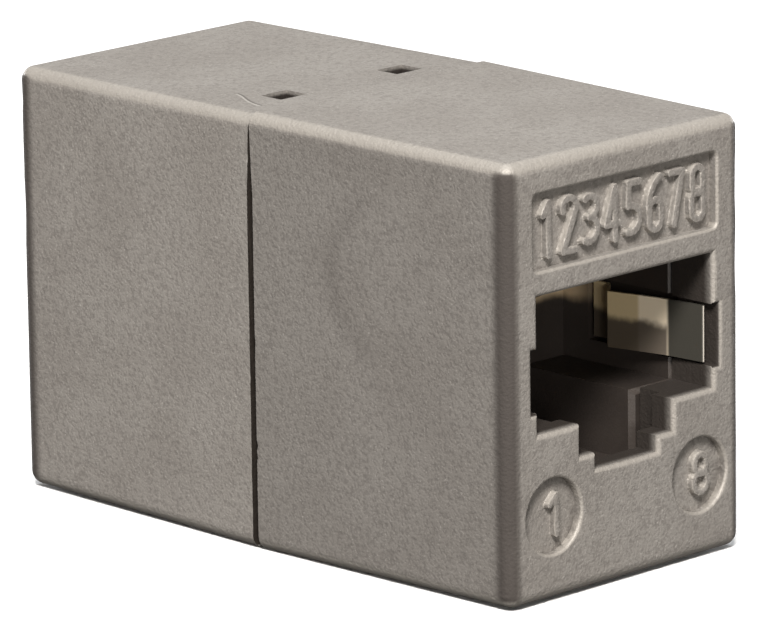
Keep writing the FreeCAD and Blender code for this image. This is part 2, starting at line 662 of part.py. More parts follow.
def contact(side, number, placement):
    """Return one contact wire: board tail, straight run, front bend, spring finger and tip."""
    row = "upper_row" if number % 2 else "lower_row"
    path = [
        (f"({BOARD_DEPTH} + board_thick + tail_reach)", row),
        ("(bend_depth + bend_size)", row),
        ("bend_depth", f"{row} - bend_size"),
        ("bend_depth", "finger_rise + bend_size"),
        ("(bend_depth + bend_size)", "finger_rise"),
        (f"({PLUG_DEPTH} - finger_stop)", "tip_rise"),
        (f"({PLUG_DEPTH} - finger_stop + tip_length)", "tip_rise"),
    ]
    strip = bent_strip(f"{side}_contact_{number}", "YZ",
                       f"({number} - {(CONTACTS + 1) / 2}) * contact_pitch",
                       [(along(depth), f"{MIDDLE} + {rise}") for depth, rise in path],
                       "wire_thick", "wire_width")
    strip.Placement = placement
    return strip


def side_spring(side, hand, placement):
    """Return one shield spring: root on the notch wall, crown that presses on a plug, free tip."""
    sign = "1" if hand == "right" else "-1"
    outer = f"({NOTCH_WIDTH} / 2 - spring_gap - spring_thick / 2)"
    wall = "port_width / 2"
    path = [
        (outer, "spring_tail"),
        (outer, "spring_root"),
        (f"({wall} - crown_press)", "crown_bend"),
        (f"({wall} - second_press)", "second_bend"),
        (f"({wall} - first_press)", "first_bend"),
        (f"({wall} - tip_press)", "tip_depth"),
    ]
    strip = bent_strip(f"{side}_{hand}_side_spring", "XY", NOTCH_MIDDLE,
                       [(f"{sign} * {across}", along(depth)) for across, depth in path],
                       "spring_thick", "spring_height")
    strip.Placement = placement
    return strip


def circuit_board():
    """Return the board across the middle, with a hole for every contact tail."""
    body = body_named("circuit_board")
    outline = cross_sketch(body, BOARD_DEPTH)
    draw_centred(outline, BOARD_WIDTH, MIDDLE, BOARD_HEIGHT)
    for row in ("upper_row", "lower_row"):
        for k in range(CONTACTS):
            draw_circle(outline, f"({k} - {(CONTACTS - 1) / 2}) * contact_pitch",
                        f"{MIDDLE} + {row}", "tail_hole / 2")
    pad(body, outline, "board_thick", reverse=True)
    return body


# ---------------------------------------------------------------- assembly

def build():
    """Return every piece of the coupler."""
    upright = FreeCAD.Placement()
    pieces = [
        shell("front", SEAM_HEIGHT, snap_tongues, upright),
        shell("rear", f"{SEAM_HEIGHT} - seam_step", snap_windows, HALF_TURN),
        circuit_board(),
    ]
    for side, placement in (("front", upright), ("rear", HALF_TURN)):
        pieces.append(jack_insert(side, placement))
        pieces.append(contact_carrier(side, placement))
        pieces += [side_spring(side, hand, placement) for hand in ("left", "right")]
        pieces += [contact(side, number, placement) for number in range(1, CONTACTS + 1)]
    document.recompute()
    return pieces


def check(pieces):
    """Stop if anything in the document failed, or a piece is not one sound solid."""
    for item in document.Objects:
        if {"Invalid", "Error"} & set(item.State):
            raise RuntimeError(f"{item.Label} failed: {item.State}")
    for piece in pieces:
        shape = piece.Shape
        if shape.isNull() or not shape.isValid() or len(shape.Solids) != 1:
            raise RuntimeError(f"{piece.Label} is not one sound solid")


parts = build()
check(parts)
os.makedirs("parts", exist_ok=True)
for part in parts:
    part.Shape.exportStep(f"parts/{part.Label}.step")
    box = part.Shape.BoundBox
    print(f"{part.Label}: {part.Shape.Volume:.2f} mm3, X {box.XMin:.2f} {box.XMax:.2f}, "
          f"Y {box.YMin:.2f} {box.YMax:.2f}, Z {box.ZMin:.2f} {box.ZMax:.2f}")
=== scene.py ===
"""Dress the RJ45 inline coupler: cast halves, jack parts, studio lights and camera.

Mesh data and places are in metres, as the frame is. A field whose name ends in _mm is in
millimetres, and mm() turns it into metres. Shader masks work in millimetres throughout.
"""
import json
import logging
import math
import random
from dataclasses import dataclass, field
from enum import Enum

import bmesh
import bpy
from bmesh.types import BMEdge, BMesh
from bpy.types import ID, Material, Mesh, Node, NodeSocket as Socket, NodeTree, Object
from mathutils import Matrix, Vector, noise


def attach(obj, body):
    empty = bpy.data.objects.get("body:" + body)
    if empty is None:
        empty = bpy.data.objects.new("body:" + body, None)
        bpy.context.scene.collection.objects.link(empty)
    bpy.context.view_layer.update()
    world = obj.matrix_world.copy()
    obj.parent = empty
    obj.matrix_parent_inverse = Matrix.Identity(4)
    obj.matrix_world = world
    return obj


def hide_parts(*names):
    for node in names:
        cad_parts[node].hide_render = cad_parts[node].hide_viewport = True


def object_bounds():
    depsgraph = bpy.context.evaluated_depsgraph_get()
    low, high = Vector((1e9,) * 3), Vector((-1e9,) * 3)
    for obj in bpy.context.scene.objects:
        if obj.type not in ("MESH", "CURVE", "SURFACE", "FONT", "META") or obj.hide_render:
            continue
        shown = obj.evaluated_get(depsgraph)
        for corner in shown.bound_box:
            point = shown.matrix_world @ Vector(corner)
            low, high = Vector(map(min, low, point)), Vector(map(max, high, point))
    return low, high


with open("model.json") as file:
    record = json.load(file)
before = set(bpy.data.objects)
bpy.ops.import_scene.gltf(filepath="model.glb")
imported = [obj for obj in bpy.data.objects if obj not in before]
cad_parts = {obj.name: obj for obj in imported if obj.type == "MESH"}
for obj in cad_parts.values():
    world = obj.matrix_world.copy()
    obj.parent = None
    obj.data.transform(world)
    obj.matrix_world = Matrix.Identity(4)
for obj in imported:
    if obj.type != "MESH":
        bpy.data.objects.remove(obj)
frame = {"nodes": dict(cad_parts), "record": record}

LOG = logging.getLogger("coupler")
BODY = "root"
CAD_BOX = [list(corner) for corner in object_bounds()]

# Half of the body's length, and half of its width at the end faces.
HALF_LENGTH_MM = 16.85
FACE_HALF_WIDTH_MM = 7.9
MM_PER_M = 1000.0
# Most values of a noise lie between these two.
NOISE_SPAN = (0.3, 0.7)
# The colour inputs and the colour output of a Mix node, by number.
MIX_FIRST, MIX_SECOND, MIX_RESULT = 6, 7, 2

Given = Socket | float | tuple[float, ...]
Colour = tuple[float, float, float]
Pair = tuple[float, float]
Triple = tuple[float, float, float]


def mm(length: float) -> float:
    """Return a length in metres from one in millimetres."""
    return length * 0.001


def put(name: str, data: ID) -> Object:
    """Put a new object into the scene.

    Args:
        name: the object's name.
        data: its mesh, lamp or camera.

    Returns:
        The object.
    """
    thing = bpy.data.objects.new(name, data)
    bpy.context.scene.collection.objects.link(thing)
    return thing


class Slot(Enum):
    """Material slots of the record."""

    CAST = "die_cast_nickel"
    INSERT = "insert_plastic"
    CARRIER = "carrier_plastic"
    SPRING = "spring_bronze"
    WIRE = "gilt_wire"
    BOARD = "board_laminate"


# ------------ shader building


class Graph:
    """A thin layer over a node tree, so that shaders read from left to right."""

    def __init__(self, tree: NodeTree) -> None:
        """Keep the tree that the nodes go into."""
        self.tree = tree

    def add(self, kind: str, settings: dict[str, object] | None = None,
            **inputs: Given) -> Node:
        """Add a node.

        Args:
            kind: Blender's node type name.
            settings: properties of the node itself.
            inputs: values or sockets for its inputs, each named as socket() has it.

        Returns:
            The node.
        """
        node = self.tree.nodes.new(kind)
        for name, setting in (settings or {}).items():
            setattr(node, name, setting)
        for name, given in inputs.items():
            self.feed(self.socket(node, name), given)
        return node

    def socket(self, node: Node, name: str) -> Socket:
        """Find an enabled input of a node.

        Args:
            node: the node.
            name: the input's name with _ for a space, or in_ and its number.

        Returns:
            The input.
        """
        if name.startswith("in_"):
            return node.inputs[int(name.removeprefix("in_"))]
        wanted = name.replace("_", " ")
        return next(s for s in node.inputs if s.name == wanted and s.enabled)

    def feed(self, socket: Socket, given: Given) -> None:
        """Link a socket to an input, or set the input's value.

        Args:
            socket: the input.
            given: the socket to link, or the value to set.
        """
        if isinstance(given, Socket):
            self.tree.links.new(given, socket)
        else:
            socket.default_value = given

    def math(self, operation: str, first: Given, *others: Given) -> Socket:
        """Take a Math operation over values, from left to right.

        Args:
            operation: the Math node's operation.
            first: the first value, and the only one where the operation takes one.
            others: the values after it.

        Returns:
            The result.
        """
        result = first
        for other in others or (0.0,):
            node = self.add("ShaderNodeMath", {"operation": operation}, in_0=result, in_1=other)
            result = node.outputs[0]
        return result

    def times(self, *factors: Given) -> Socket:
        """Return the product of values."""
        return self.math("MULTIPLY", *factors)

    def size(self, given: Given) -> Socket:
        """Return a value without its sign."""
        return self.math("ABSOLUTE", given)

    def gap(self, given: Given, middle: float) -> Socket:
        """Return how far a value is from a middle."""
        return self.size(self.math("SUBTRACT", given, middle))

    def between(self, given: Given, span: Pair) -> Socket:
        """Return 1 where a value lies inside a span, and 0 elsewhere."""
        return self.times(self.math("GREATER_THAN", given, span[0]),
                          self.math("LESS_THAN", given, span[1]))

    def blend(self, amount: Given, first: Given, second: Given) -> Socket:
        """Mix two colours.

        Args:
            amount: 0 for the first colour and 1 for the second.
            first: a colour, or the socket of one.
            second: a colour, or the socket of one.

        Returns:
            The mixed colour.
        """
        node = self.add("ShaderNodeMix", {"data_type": "RGBA"})
        self.feed(node.inputs["Factor"], amount)
        for number, tint in ((MIX_FIRST, first), (MIX_SECOND, second)):
            self.feed(node.inputs[number], tint if isinstance(tint, Socket) else (*tint, 1.0))
        return node.outputs[MIX_RESULT]

    def remap(self, given: Given, span: Pair, to: Pair = (0.0, 1.0)) -> Socket:
        """Return a value moved from one span to another, with smooth ends."""
        node = self.add("ShaderNodeMapRange", {"interpolation_type": "SMOOTHSTEP"}, Value=given,
                        From_Min=span[0], From_Max=span[1], To_Min=to[0], To_Max=to[1])
        return node.outputs[0]

    def about(self, given: Given, middle: float, swing: Pair) -> Socket:
        """Return a value that moves about a middle as a noise does."""
        return self.remap(given, NOISE_SPAN, (middle + swing[0], middle + swing[1]))

    def noise(self, place: Given, scale: Given, detail: float, roughness: float = 0.5) -> Socket:
        """Return a noise value, with its scale in features per millimetre."""
        node = self.add("ShaderNodeTexNoise", None, Vector=place, Scale=scale, Detail=detail,
                        Roughness=roughness)
        return node.outputs[0]

    def millimetres(self) -> Socket:
        """Return the object's own coordinates in millimetres."""
        spot = self.add("ShaderNodeTexCoord").outputs["Object"]
        return self.add("ShaderNodeVectorMath", {"operation": "SCALE"}, in_0=spot,
                        in_3=MM_PER_M).outputs[0]

    def normal(self) -> Socket:
        """Return the surface normal in the object's own axes."""
        return self.add("ShaderNodeTexCoord").outputs["Normal"]

    def split(self, vector: Given) -> list[Socket]:
        """Return the three parts of a vector."""
        return list(self.add("ShaderNodeSeparateXYZ", None, in_0=vector).outputs)


class Surface:
    """Where a shaded point lies, in millimetres from the body's axes, and how it faces."""

    def __init__(self, graph: Graph) -> None:
        """Make the sockets that masks start from.

        Args:
            graph: the material's graph.
        """
        self.graph = graph
        self.x, self.y, self.z = graph.split(graph.millimetres())
        self.facing = graph.split(graph.normal())
        self.wide = graph.size(self.x)
        self.along = graph.size(self.y)
        self.depth = graph.math("SUBTRACT", HALF_LENGTH_MM, self.along)

    def square_to(self, axis: int, span: Pair) -> Socket:
        """Return how squarely the surface faces along an axis, from 0 to 1 over a span."""
        return self.graph.remap(self.graph.size(self.facing[axis]), span)


@dataclass(frozen=True)
class Effect:
    """A shader node group that several materials share."""

    name: str
    inputs: tuple[tuple[str, float], ...]
    outputs: tuple[str, ...]

    def open(self) -> tuple[NodeTree, Graph, Node, Node]:
        """Make the empty group.

        Returns:
            The group, its graph, its input node and its output node.
        """
        tree = bpy.data.node_groups.new(self.name, "ShaderNodeTree")
        for name, preset in self.inputs:
            socket = tree.interface.new_socket(name, in_out="INPUT", socket_type="NodeSocketFloat")
            socket.default_value = preset
        for name in self.outputs:
            tree.interface.new_socket(name, in_out="OUTPUT", socket_type="NodeSocketFloat")
        given, result = tree.nodes.new("NodeGroupInput"), tree.nodes.new("NodeGroupOutput")
        return tree, Graph(tree), given, result


@dataclass(frozen=True)
class SurfaceGrain(Effect):
    """Fine grain and slow blotches of a cast or moulded surface.

    A share is a scale as a part of the grain's own, and a weight is a part of the height.
    """

    name: str = "surface_grain"
    inputs: tuple[tuple[str, float], ...] = (("Grain per mm", 5.0), ("Blotch per mm", 0.2))
    outputs: tuple[str, ...] = ("Height", "Speckle", "Blotch")
    coarse_share: float = 0.42
    cell_share: float = 0.9
    speckle_share: float = 1.3
    fine_weight: float = 0.55
    coarse_weight: float = 0.45
    cell_weight: float = 0.22
    speckle_span: Pair = (0.6, 0.8)

    def build(self) -> NodeTree:
        """Build the group.

        Returns:
            The finished group.
        """
        tree, graph, given, result = self.open()
        per_mm, blotch_per_mm = given.outputs[0], given.outputs[1]
        place = graph.millimetres()
        fine = graph.noise(place, per_mm, detail=3.0, roughness=0.6)
        coarse = graph.noise(place, graph.times(per_mm, self.coarse_share), detail=1.0)
        cells = graph.add("ShaderNodeTexVoronoi", None, Vector=place,
                          Scale=graph.times(per_mm, self.cell_share))
        sand = graph.math("ADD", graph.times(fine, self.fine_weight),
                          graph.times(coarse, self.coarse_weight))
        pores = graph.times(cells.outputs["Distance"], self.cell_weight)
        graph.feed(result.inputs["Height"], graph.math("SUBTRACT", sand, pores))
        sparkle = graph.noise(place, graph.times(per_mm, self.speckle_share), detail=1.0)
        graph.feed(result.inputs["Speckle"], graph.remap(sparkle, self.speckle_span))
        blotch = graph.noise(place, blotch_per_mm, detail=3.0, roughness=0.55)
        graph.feed(result.inputs["Blotch"], blotch)
        return tree


@dataclass(frozen=True)
class EdgeWearAndShade(Effect):
    """Where the surface turns: edges rubbed smooth, and hollow corners that get painted shade.

    turned_span is over the largest part of the normal, which falls from 1 as it turns.
    """

    name: str = "edge_wear_and_shade"
    inputs: tuple[tuple[str, float], ...] = (("Gain", 1.0), ("Broken per mm", 1.6))
    outputs: tuple[str, ...] = ("Rubbed", "Corner")
    turned_span: Pair = (0.995, 0.93)
    broken_span: Pair = (0.2, 0.42)
    broken_range: Pair = (0.72, 1.0)
    corner_span: Pair = (0.485, 0.42)

    def build(self) -> NodeTree:
        """Build the group.

        Returns:
            The finished group.
        """
        tree, graph, given, result = self.open()
        sides = [graph.size(part) for part in graph.split(graph.normal())]
        turned = graph.remap(graph.math("MAXIMUM", *sides), self.turned_span)
        broken = graph.noise(graph.millimetres(), given.outputs[1], detail=3.0, roughness=0.6)
        whole = graph.times(turned, graph.remap(broken, self.broken_span, self.broken_range))
        graph.feed(result.inputs["Rubbed"], graph.times(whole, given.outputs[0]))
        turn = graph.add("ShaderNodeNewGeometry").outputs["Pointiness"]
        # Hollow corners, where Pointiness is low, are marked for painted shade.
        graph.feed(result.inputs["Corner"], graph.remap(turn, self.corner_span))
        return tree


class Shop:
    """Holds the shared effects and starts materials with them."""

    def __init__(self) -> None:
        """Build each shared effect once."""
        self.grain = SurfaceGrain().build()
        self.wear_and_shade = EdgeWearAndShade().build()

    def start(self, name: str) -> tuple[Material, Graph, Node]:
        """Start a material.

        Args:
            name: the material's name.

        Returns:
            The material, its graph and its Principled shader.
        """
        material = bpy.data.materials.new(name)
        material.use_nodes = True
        graph = Graph(material.node_tree)
        return material, graph, material.node_tree.nodes["Principled BSDF"]

    def place(self, graph: Graph, group: NodeTree, **inputs: float) -> Node:
        """Put a shared effect into a material.

        Args:
            graph: the material's graph.
            group: the shared effect.
            inputs: the material's own values, by input name with _ for a space.

        Returns:
            The group node.
        """
        node = graph.add("ShaderNodeGroup", {"node_tree": group})
        for name, number in inputs.items():
            node.inputs[name.replace("_", " ")].default_value = number
        return node

    def bump(self, graph: Graph, shader: Node, height: Given, depth_mm: float) -> None:
        """Raise the surface by a height, as deep as given."""
        node = graph.add("ShaderNodeBump", None, Height=height, Strength=1.0, Distance=mm(depth_mm))
        graph.feed(shader.inputs["Normal"], node.outputs[0])


# ------------ finishes


@dataclass(frozen=True)
class OpeningShade:
    """Where painted shade makes the casting brown: in the ports, their side notches and the snap
    windows.

    steps_mm gives the half-width and the floor of the port's plug step and latch step.
    """

    steps_mm: tuple[Pair, ...] = ((6.85, 6.5), (3.3, 5.4))
    roof_mm: float = 15.6
    fade_mm: Pair = (0.06, 0.7)
    core_half_mm: float = 7.1
    core_depth_mm: float = 0.8
    core_rise_mm: Pair = (1.3, 20.35)
    notch_side_mm: Pair = (5.98, 6.6)
    notch_middle_mm: float = 10.82
    notch_half_mm: float = 1.6
    notch_fade_mm: Pair = (0.04, 0.16)
    window_place_mm: Pair = (3.9, 2.05)
    window_half_mm: Pair = (0.95, 0.78)
    window_middle_mm: float = 10.72
    window_fade_mm: Pair = (10.58, 10.4)

    def mask(self, surface: Surface) -> Socket:
        """Find the inside of the openings.

        Args:
            surface: the shaded point.

        Returns:
            1 inside an opening and 0 on the outside of the body.
        """
        graph = surface.graph
        steps = [graph.times(graph.math("LESS_THAN", surface.wide, half),
                             graph.math("GREATER_THAN", surface.z, floor))
                 for half, floor in self.steps_mm]
        mouth = graph.times(graph.math("MAXIMUM", *steps),
                            graph.math("LESS_THAN", surface.z, self.roof_mm),
                            graph.remap(surface.depth, self.fade_mm))
        core = graph.times(graph.math("LESS_THAN", surface.wide, self.core_half_mm),
                           graph.math("GREATER_THAN", surface.depth, self.core_depth_mm),
                           graph.between(surface.z, self.core_rise_mm))
        level = graph.math("LESS_THAN", graph.gap(surface.z, self.notch_middle_mm),
                           self.notch_half_mm)
        notch = graph.times(graph.between(surface.wide, self.notch_side_mm), level,
                            graph.remap(surface.depth, self.notch_fade_mm))
        return graph.math("MAXIMUM", mouth, notch, core, self.window(surface))

    def window(self, surface: Surface) -> Socket:
        """Find the inside of the snap windows.

        Args:
            surface: the shaded point.

        Returns:
            1 in a window, below the body's top face and above its underside.
        """
        graph = surface.graph
        across, along = self.window_place_mm
        half_wide, half_long = self.window_half_mm
        inside = graph.times(graph.math("LESS_THAN", graph.gap(surface.wide, across), half_wide),
                             graph.math("LESS_THAN", graph.gap(surface.along, along), half_long))
        rise = graph.gap(surface.z, self.window_middle_mm)
        return graph.times(inside, graph.remap(rise, self.window_fade_mm))


@dataclass(frozen=True)
class Scratch:
    """A short curved scratch in the top of the half at positive Y: a dark line of painted shade,
    with a painted highlight along one rim.
    """

    run_mm: Pair = (0.9, 4.1)
    ends_mm: Pair = (1.1, 3.9)
    start_mm: float = 6.25
    lean_mm: float = 1.1
    bow_mm: float = -0.5
    width_mm: Pair = (0.09, 0.03)
    rim_mm: float = 0.13
    upward: float = 0.8
    strength: float = 0.6

    def mask(self, surface: Surface, shift_mm: float = 0.0) -> Socket:
        """Find the scratch.

        Args:
            surface: the shaded point.
            shift_mm: how far to one side the line is moved.

        Returns:
            The strength of the line.
        """
        graph = surface.graph
        share = graph.remap(surface.y, self.run_mm)
        bow = graph.times(share, graph.math("SUBTRACT", 1.0, share))
        line = graph.math("ADD", graph.times(share, self.lean_mm), graph.times(bow, self.bow_mm))
        away = graph.math("SUBTRACT", graph.math("ADD", surface.x, self.start_mm + shift_mm), line)
        thin = graph.remap(graph.size(away), self.width_mm)
        upward = graph.math("GREATER_THAN", surface.facing[2], self.upward)
        return graph.times(thin, graph.between(surface.y, self.ends_mm), upward, self.strength)


@dataclass(frozen=True)
class SinkMark:
    """A faint arc of painted shade on the sides of the half at negative Y, where it has sunk.

    middle_mm is the arc's middle along Y and Z, and half_mm is where its far half fades in.
    """

    middle_mm: Pair = (-9.3, 14.6)
    radius_mm: float = 3.9
    fade_mm: Pair = (0.95, 0.0)
    half_mm: Pair = (0.6, 2.6)
    strength: float = 0.17

    def mask(self, surface: Surface, sideways: Socket) -> Socket:
        """Find the arc.

        Args:
            surface: the shaded point.
            sideways: 1 on the sides of the body.

        Returns:
            The strength of the arc.
        """
        graph = surface.graph
        along = graph.math("SUBTRACT", surface.y, self.middle_mm[0])
        rise = graph.math("SUBTRACT", surface.z, self.middle_mm[1])
        square = graph.math("ADD", graph.times(along, along), graph.times(rise, rise))
        away = graph.gap(graph.math("SQRT", square), self.radius_mm)
        return graph.times(graph.remap(away, self.fade_mm), graph.remap(along, self.half_mm),
                           sideways, self.strength)


@dataclass(frozen=True)
class CastMetal:
    """Dull, finely sanded nickel on die-cast zinc: pale outside, painted shade brown inside the
    ports.
    """

    light: Colour = (0.285, 0.265, 0.242)
    dark: Colour = (0.258, 0.238, 0.216)
    grit: Colour = (0.17, 0.154, 0.14)
    glint: Colour = (0.46, 0.435, 0.40)
    edge: Colour = (0.33, 0.305, 0.272)
    # Dark tint of painted shade on the upright edges, hollows, sink mark and scratch.
    upright: Colour = (0.062, 0.053, 0.047)
    # Dark tint of painted shade inside the openings.
    inside: Colour = (0.032, 0.026, 0.022)
    # Dark tint of painted shade in the seam's gap.
    seam: Colour = (0.022, 0.017, 0.013)
    shadow: Colour = (0.0, 0.0, 0.0)
    grain_per_mm: float = 7.0
    grain_depth_mm: float = 0.055
    blotch_per_mm: float = 0.22
    blotch_span: Pair = (0.35, 0.65)
    pit_span: Pair = (0.42, 0.27)
    pit_share: float = 0.5
    glint_share: float = 0.55
    edge_share: float = 0.7
    corner_share: float = 0.6
    metallic: float = 0.25
    roughness: float = 0.6
    edge_roughness: float = 0.56
    upright_roughness: float = 0.85
    side_shade: float = 0.79
    side_turn: Pair = (0.8, 0.95)
    upright_weight: float = 1.45
    upright_fade_mm: Pair = (1.22, 0.6)
    upright_turn: Pair = (0.6, 0.3)
    seam_turn: Pair = (0.5, 0.8)
    seam_reach_mm: float = 0.4

    def make(self, shop: Shop) -> Material:
        """Make the material.

        Args:
            shop: holds the shared effects.

        Returns:
            The material.
        """
        material, graph, shader = shop.start("satin_nickel_casting")
        surface = Surface(graph)
        grain = shop.place(graph, shop.grain, Grain_per_mm=self.grain_per_mm,
                           Blotch_per_mm=self.blotch_per_mm).outputs
        wear_and_shade = shop.place(graph, shop.wear_and_shade, Gain=1.0).outputs
        sideways = surface.square_to(0, self.side_turn)
        front = graph.times(sideways, graph.math("LESS_THAN", surface.y, 0.0))
        upright = self.upright_edge(surface)
        scratch = Scratch()
        pits = graph.remap(grain["Height"], self.pit_span)
        layers = (
            (graph.times(pits, self.pit_share), self.grit),
            (graph.times(grain["Speckle"], self.glint_share), self.glint),
            (graph.times(1.0 - self.side_shade, front), self.shadow),
            (graph.times(wear_and_shade["Rubbed"], self.edge_share), self.edge),
            # painted shade in hollow corners
            (graph.times(wear_and_shade["Corner"], self.corner_share), self.upright),
            # painted shade on the rounded upright edges
            (upright, self.upright),
            # painted shade along the sink mark's arc
            (SinkMark().mask(surface, sideways), self.upright),
            # painted shade inside the openings
            (OpeningShade().mask(surface), self.inside),
            # painted shade on the faces in the seam's gap
            (self.seam_face(surface), self.seam),
            # the scratch's painted shade and its rim's painted highlight
            (scratch.mask(surface), self.upright),
            (scratch.mask(surface, scratch.rim_mm), self.glint),
        )
        colour = graph.blend(graph.remap(grain["Blotch"], self.blotch_span), self.dark, self.light)
        for amount, tint in layers:
            colour = graph.blend(amount, colour, tint)
        graph.feed(shader.inputs["Base Color"], colour)
        shader.inputs["Metallic"].default_value = self.metallic
        spread = graph.remap(wear_and_shade["Rubbed"], (0.0, 1.0), (self.roughness, self.edge_roughness))
        dull = graph.times(upright, self.upright_roughness)
        graph.feed(shader.inputs["Roughness"], graph.math("MAXIMUM", spread, dull))
        shop.bump(graph, shader, grain["Height"], self.grain_depth_mm)
        return material

    def upright_edge(self, surface: Surface) -> Socket:
        """Find the rounded upright edges, which get painted shade.

        Args:
            surface: the shaded point.

        Returns:
            1 on the edges and 0 elsewhere.
        """
        graph = surface.graph
        inward = graph.math("SUBTRACT", FACE_HALF_WIDTH_MM, surface.wide)
        reach = graph.math("ADD", graph.times(inward, self.upright_weight), surface.depth)
        return graph.times(graph.remap(reach, self.upright_fade_mm),
                           surface.square_to(2, self.upright_turn))

    def seam_face(self, surface: Surface) -> Socket:
        """Return 1 on the end faces that meet at the seam, where the gap's shade is painted."""
        near = surface.graph.math("LESS_THAN", surface.along, self.seam_reach_mm)
        return surface.graph.times(surface.square_to(1, self.seam_turn), near)


@dataclass(frozen=True)
class MouldedPlastic:
    """Dark moulded plastic with a faint spark-eroded grain, and painted light making it paler deep
    inside a port.
    """

    name: str
    light: Colour
    dark: Colour
    # Tint of the painted pool of light high up at the back of a port.
    deep: Colour = (0.62, 0.48, 0.31)
    roughness: float = 0.46
    roughness_swing: Pair = (-0.06, 0.08)
    grain_per_mm: float = 9.0
    grain_depth_mm: float = 0.012
    blotch_per_mm: float = 0.35
    wear_gain: float = 0.6
    edge_gain: float = 1.2
    deep_behind_mm: Pair = (7.5, 9.5)
    deep_above_mm: Pair = (11.7, 12.3)
    deep_waver_mm: float = 1.4
    deep_share: float = 0.85

    def make(self, shop: Shop) -> Material:
        """Make the material.

        Args:
            shop: holds the shared effects.

        Returns:
            The material.
        """
        material, graph, shader = shop.start(self.name)
        grain = shop.place(graph, shop.grain, Grain_per_mm=self.grain_per_mm,
                           Blotch_per_mm=self.blotch_per_mm).outputs
        wear_and_shade = shop.place(graph, shop.wear_and_shade, Gain=self.wear_gain).outputs
        colour = graph.blend(grain["Blotch"], self.dark, self.light)
        # painted pool of light deep in the port
        colour = graph.blend(self.painted_light_patch(Surface(graph), grain["Blotch"]), colour, self.deep)
        pale = tuple(min(1.0, self.edge_gain * part) for part in self.light)
        graph.feed(shader.inputs["Base Color"], graph.blend(wear_and_shade["Rubbed"], colour, pale))
        graph.feed(shader.inputs["Roughness"],
                   graph.about(grain["Height"], self.roughness, self.roughness_swing))
        shop.bump(graph, shader, grain["Height"], self.grain_depth_mm)
        return material

    def painted_light_patch(self, surface: Surface, blotch: Socket) -> Socket:
        """Find the painted pool of light, high up and far behind the port's mouth.

        Args:
            surface: the shaded point.
            blotch: the slow blotches that make its lower edge waver.

        Returns:
            How strongly the painted light shows.
        """
        graph = surface.graph
        waver = graph.times(blotch, self.deep_waver_mm)
        above = graph.remap(graph.math("ADD", surface.z, waver), self.deep_above_mm)
        return graph.times(graph.remap(surface.depth, self.deep_behind_mm), above,
                           self.deep_share)


@dataclass(frozen=True)
class PlatedStrip:
    """Plated copper alloy, rolled along the strip.

    lines_per_mm gives how close the rolling lines lie along X, Y and Z.
    """

    name: str
    light: Colour
    dark: Colour
    roughness: float
    roughness_swing: Pair = (-0.07, 0.09)
    grain_per_mm: float = 7.0
    blotch_per_mm: float = 0.5
    lines_per_mm: Triple = (14.0, 0.8, 14.0)
    line_depth_mm: float = 0.004

    def make(self, shop: Shop) -> Material:
        """Make the material.

        Args:
            shop: holds the shared effects.

        Returns:
            The material.
        """
        material, graph, shader = shop.start(self.name)
        grain = shop.place(graph, shop.grain, Grain_per_mm=self.grain_per_mm,
                           Blotch_per_mm=self.blotch_per_mm).outputs
        drawn = graph.add("ShaderNodeVectorMath", {"operation": "MULTIPLY"},
                          in_0=graph.millimetres(), in_1=self.lines_per_mm).outputs[0]
        lines = graph.noise(drawn, 1.0, detail=2.0, roughness=0.6)
        graph.feed(shader.inputs["Base Color"],
                   graph.blend(grain["Blotch"], self.dark, self.light))
        shader.inputs["Metallic"].default_value = 1.0
        graph.feed(shader.inputs["Roughness"],
                   graph.about(lines, self.roughness, self.roughness_swing))
        shop.bump(graph, shader, lines, self.line_depth_mm)
        return material


@dataclass(frozen=True)
class SpringStrip:
    """Tinned bronze with painted light and shade, one tone for each flat of the bent strip."""

    # Painted light and shade: tip is the shaded first flat, middle the lit second flat, inner the
    # third flat.
    tip: Colour = (0.05, 0.047, 0.039)
    # Painted highlight on the end faces.
    end_highlight: Colour = (0.62, 0.57, 0.5)
    middle: Colour = (0.95, 0.82, 0.62)
    inner: Colour = (0.62, 0.50, 0.30)
    # Painted shade over the lower part of the flats.
    painted_low_shade: Colour = (0.06, 0.048, 0.04)
    metallic: float = 0.15
    roughness: float = 0.38
    grain_per_mm: float = 6.0
    grain_depth_mm: float = 0.006
    blotch_per_mm: float = 0.9
    bends_mm: Pair = (2.75, 4.35)
    bend_fade_mm: float = 0.12
    shade_rise_mm: Pair = (11.2, 10.7)
    shade_waver_mm: float = 0.7
    shade_share: float = 0.93
    end_turn: Pair = (0.8, 0.95)
    end_depth_mm: float = 1.0

    def make(self, shop: Shop) -> Material:
        """Make the material.

        Args:
            shop: holds the shared effects.

        Returns:
            The material.
        """
        material, graph, shader = shop.start("tinned_bronze")
        surface = Surface(graph)
        grain = shop.place(graph, shop.grain, Grain_per_mm=self.grain_per_mm,
                           Blotch_per_mm=self.blotch_per_mm).outputs
        first, second = (graph.remap(surface.depth,
                                     (bend - self.bend_fade_mm, bend + self.bend_fade_mm))
                         for bend in self.bends_mm)
        wave = graph.times(graph.math("SUBTRACT", grain["Blotch"], 0.5), self.shade_waver_mm)
        low = graph.remap(graph.math("ADD", surface.z, wave), self.shade_rise_mm)
        end = graph.times(surface.square_to(1, self.end_turn),
                          graph.math("LESS_THAN", surface.depth, self.end_depth_mm))
        colour = self.tip
        # painted light and shade: lit flats, shaded lower part, highlit end faces
        for amount, tint in ((first, self.middle), (second, self.inner),
                             (graph.times(low, first, self.shade_share), self.painted_low_shade),
                             (end, self.end_highlight)):
            colour = graph.blend(amount, colour, tint)
        graph.feed(shader.inputs["Base Color"], colour)
        shader.inputs["Metallic"].default_value = self.metallic
        shader.inputs["Roughness"].default_value = self.roughness
        shop.bump(graph, shader, grain["Height"], self.grain_depth_mm)
        return material


